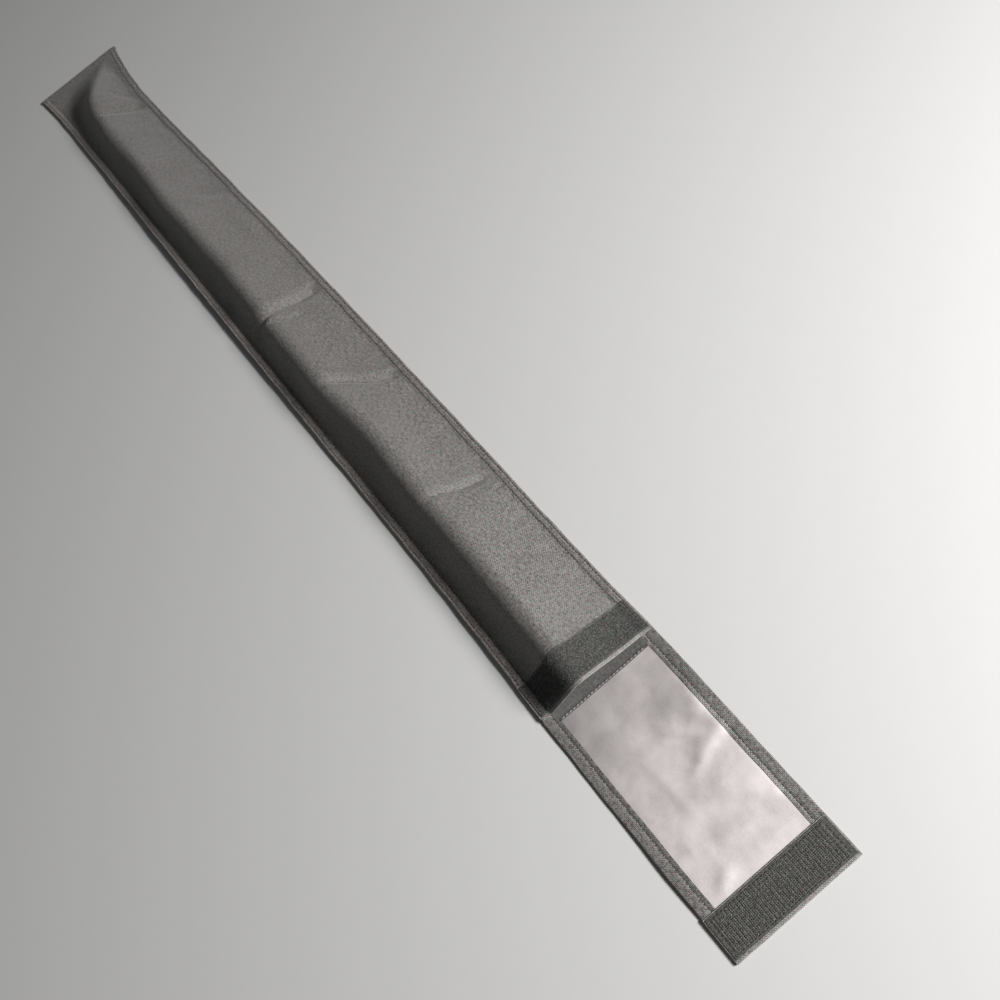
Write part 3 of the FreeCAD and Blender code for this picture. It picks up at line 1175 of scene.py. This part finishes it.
def linePath(start, end, z):
    def path(distance):
        spot = start + (end - start).normalized() * distance
        return laid(spot.x, spot.y, z)
    return path


def frameSpots(low, high, reach, z, facing):
    corners = [Vector((low, -reach)), Vector((high, -reach)), Vector((high, reach)), Vector((low, reach))]
    spots = []
    for start, end in zip(corners, corners[1:] + corners[:1]):
        spots += sewLine(linePath(start, end, z), facing, (end - start).length)
    return spots


hookFrame = [hookStart + stitching["hookEnds"], tapeEnd - stitching["hookEnds"]]
hookFrame.append(hookReach - stitching["hookSide"])
hookSpots = frameSpots(*hookFrame, tapeGround + 0.1 * mm, up)
hookSpots += frameSpots(*hookFrame, stitching["under"], down)
hookStitches = copyAlong("hookStitches", stitch, hookSpots, darkThread)

liningRow = liningEnd - stitching["liningInset"]
liningReach = halfWidth - hemWidth - 1 * mm
liningTop = coatingTop + layers["lining"] + 0.75 * mm
liningPath = linePath(Vector((liningRow, -liningReach)), Vector((liningRow, liningReach)), liningTop)
liningSpots = sewLine(liningPath, up, 2 * liningReach)
liningStitches = copyAlong("liningStitches", stitch, liningSpots, paleThread)


def coverNormal(x, y):
    return (coverPoint(x, y, 1 * mm) - coverPoint(x, y, 0)).normalized()


def tapeSpots():
    # the row round the loop tape follows its curved face
    spots = []
    first, last = stitching["loopEnds"]
    loopSide = stitching["loopSide"]
    for x in (loopStart + first, lipStart - last):
        y = edges(min(x, mouth))[0] + loopSide
        reach = -y
        while y < reach:
            slope = coverNormal(x, y)
            ahead = y + stitching["pitch"] * max(slope.z, 0.4)
            near = coverPoint(x, y + 0.2 * mm, layers["tape"])
            far = coverPoint(x, ahead - 0.2 * mm, layers["tape"])
            near, far = laidFront(*near), laidFront(*far)
            spots.append(stitchAt(near, far, slope))
            y = ahead
    for side in (-1, 1):
        y = side * (halfWidth - loopSide - cloth)
        top = frontTop + layers["tape"]
        path = linePath(Vector((loopStart + first, y)), Vector((lipStart, y)), top)
        spots += sewLine(path, up, lipStart - loopStart - 3 * mm)
    return spots


loopStitches = copyAlong("loopStitches", stitch, tapeSpots(), darkThread)
bpy.data.objects.remove(stitch)

print("pile")
dice = random.Random(5)


def standAt(point, normal, spin, size):
    # stands a small piece on a surface, turned by spin about the surface's normal
    side = Vector((math.cos(spin), math.sin(spin), 0))
    across = normal.cross(side).normalized()
    along = across.cross(normal)
    turned = Matrix((along, across, normal)).transposed().to_4x4()
    return Matrix.Translation(point) @ turned @ Matrix.Diagonal((*size, 1))


def stray(reach):
    return dice.uniform(-reach, reach)


def loopSpots():
    spots = []
    x = loopStart + tapes["bare"]
    while x < lipStart - tapes["bare"] * 0.7:
        ys = acrossMouth(x, 5 * mm, 10)
        y = ys[0]
        while y < ys[-1]:
            place = x + stray(0.5) * tapes["loopPitch"]
            across = y + stray(0.5) * tapes["loopPitch"]
            normal = coverNormal(place, across)
            point = coverPoint(place, across, layers["tape"])
            size = (dice.uniform(0.8, 1.5), 1, dice.uniform(0.8, 1.6))
            lean = (normal + Vector((stray(0.5), stray(0.5), 0))).normalized()
            spots.append(standAt(laidFront(*point), lean, dice.uniform(0, math.pi), size))
            y += tapes["loopPitch"] * max(normal.z, 0.5)
        x += tapes["loopPitch"]
    return spots


def hookPlaces():
    spots = []
    height = tapeGround + pile["hookStand"]
    sideReach = hookReach - tapes["bareSide"]
    x = hookStart + tapes["bare"] + 0.6 * mm
    row = 0
    while x < tapeEnd - tapes["bare"]:
        y = -sideReach
        column = 0
        while y < sideReach:
            point = laid(x + stray(0.2) * mm, y + stray(0.2) * mm, height)
            lean = Vector((stray(0.25), stray(0.25), 1)).normalized()
            face = dice.choice((0, math.pi)) + stray(0.6)
            spots.append(standAt(point, lean, face, (1, 1, dice.uniform(0.85, 1.05))))
            column += 1
            y += tapes["hookPitch"] * (1.4 if column % 2 else 0.9)
        x += tapes["hookPitch"] * (1.15 if row % 2 else 0.9)
        row += 1
    return spots


loopMaster, hookMaster = modelLoop(), modelHook()
loopPileTufts = copyAlong("loopPile", loopMaster, loopSpots(), loopPile)
hookPileHooks = copyAlong("hookPile", hookMaster, hookPlaces(), hookPile)
bpy.data.objects.remove(loopMaster)
bpy.data.objects.remove(hookMaster)

# Joining to the frame: most pieces ride on a body; the pieces across the flap's folds only have their
# place baked in.
print("riding")


def rideOn(piece, body, slot, *nodes):
    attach(piece, body)
    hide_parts(*nodes)


def bendAt(piece, bodies, foldX, slot, *nodes):
    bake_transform(piece)
    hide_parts(*nodes)


rideOn(frontPanel, "pouch", "outer_fabric", "front_panel", "left_front_turn_in", "right_front_turn_in")
rideOn(closedEndFold, "pouch", "outer_fabric", "closed_end_fold")
rideOn(mouthLip, "pouch", "folded_edge", "mouth_lip")
rideOn(backLining, "pouch", "lining", "back_lining")
rideOn(frontLining, "pouch", "lining", "front_lining")
rideOn(liningStitches, "pouch", "thread", "lining_stitches")
rideOn(loopTape, "pouch", "loop_tape", "loop_strip")
rideOn(loopPileTufts, "pouch", "loop_tape")
rideOn(loopStitches, "pouch", "thread", "loop_stitches")
for name, piece in seamRows.items():
    side = "left" if name.startswith("left") else "right"
    row = "outer" if "Outer" in name else "inner"
    rideOn(piece, "pouch", "thread", side + "_" + row + "_stitches")
rideOn(endHem, "flap_tip", "folded_edge", "end_hem")
rideOn(hookTape, "flap_tip", "hook_tape", "hook_strip")
rideOn(hookPileHooks, "flap_tip", "hook_tape")
rideOn(hookStitches, "flap_tip", "thread", "hook_stitches")

lower, upper = ("pouch", "flap_band"), ("flap_band", "flap_tip")
backNodes = ["back_panel", "left_back_hem", "right_back_hem"]
backNodes += ["flap_band_panel", "left_band_hem", "right_band_hem"]
bendAt(backPanel, lower, firstFold, "outer_fabric", *backNodes)
bendAt(flapCoating, lower, firstFold, "coated_side")
bendAt(baseHemStitches, lower, firstFold, "thread", "base_hem_stitches", "band_hem_stitches")
bendAt(flapTip, upper, secondFold, "outer_fabric", "flap_tip_panel", "left_tip_hem", "right_tip_hem")
bendAt(tipCoating, upper, secondFold, "coated_side")
bendAt(tipHemStitches, upper, secondFold, "thread", "tip_hem_stitches")

# Floor, lights and camera.
studio = {
    "floorSize": 12,
    "floorDrop": 0.5 * mm,
    "floorColor": (0.52, 0.515, 0.505, 1),
    "floorVary": 1.02,
    "worldColor": (0.95, 0.97, 1.0, 1),
    "worldStrength": 0.085,
    "keyPlace": (1.35, 1.27, 1.04),
    "keyAim": (0.1, 0.0, 0.0),
    "keySize": (0.74, 0.39),
    "keyPower": 76,
}

bpy.ops.object.select_all(action="DESELECT")
bpy.ops.mesh.primitive_plane_add(size=studio["floorSize"], location=(0, 0, -studio["floorDrop"]))
floor = bpy.context.object
floor.name = "floor"
floorMaterial = newMaterial("pale floor", 0.85, 0.2)
floorNodes = Nodes(floorMaterial)
floorPlace = floorNodes.add("ShaderNodeTexCoord").outputs["Object"]
floorTone = floorNodes.noise(floorPlace, 60.0, 3.0)
lighter = tuple(part * studio["floorVary"] for part in studio["floorColor"][:3]) + (1,)
floorMix = floorNodes.mixColor(floorTone, studio["floorColor"], lighter)
floorNodes.put(floorNodes.shader, "Base Color", floorMix)
floor.data.materials.append(floorMaterial)

world = bpy.data.worlds.new("studio")
bpy.context.scene.world = world
world.use_nodes = True
background = world.node_tree.nodes["Background"]
background.inputs["Color"].default_value = studio["worldColor"]
background.inputs["Strength"].default_value = studio["worldStrength"]


def softBox(name, place, aim, size, power):
    bpy.ops.object.light_add(type="AREA", location=place)
    light = bpy.context.object
    light.name = name
    light.data.shape = "RECTANGLE"
    light.data.size, light.data.size_y = size
    light.data.energy = power
    light.rotation_euler = (Vector(aim) - Vector(place)).to_track_quat("-Z", "Y").to_euler()


softBox("key", studio["keyPlace"], studio["keyAim"], studio["keySize"], studio["keyPower"])

shot = {
    "place": (0.678, -0.018, 0.808),
    "aim": (0.2211, 0.0340, 0.0),
    "roll": -0.6028,
    "lens": 39.6,
    "sensor": 36,
}
bpy.ops.object.camera_add(location=shot["place"])
camera = bpy.context.object
camera.data.sensor_width = shot["sensor"]
camera.data.lens = shot["lens"]
look = (Vector(shot["aim"]) - Vector(shot["place"])).to_track_quat("-Z", "Y").to_matrix()
camera.rotation_euler = (look @ Matrix.Rotation(shot["roll"], 3, "Z")).to_euler()
bpy.context.scene.camera = camera
bpy.context.scene.view_settings.view_transform = "Standard"
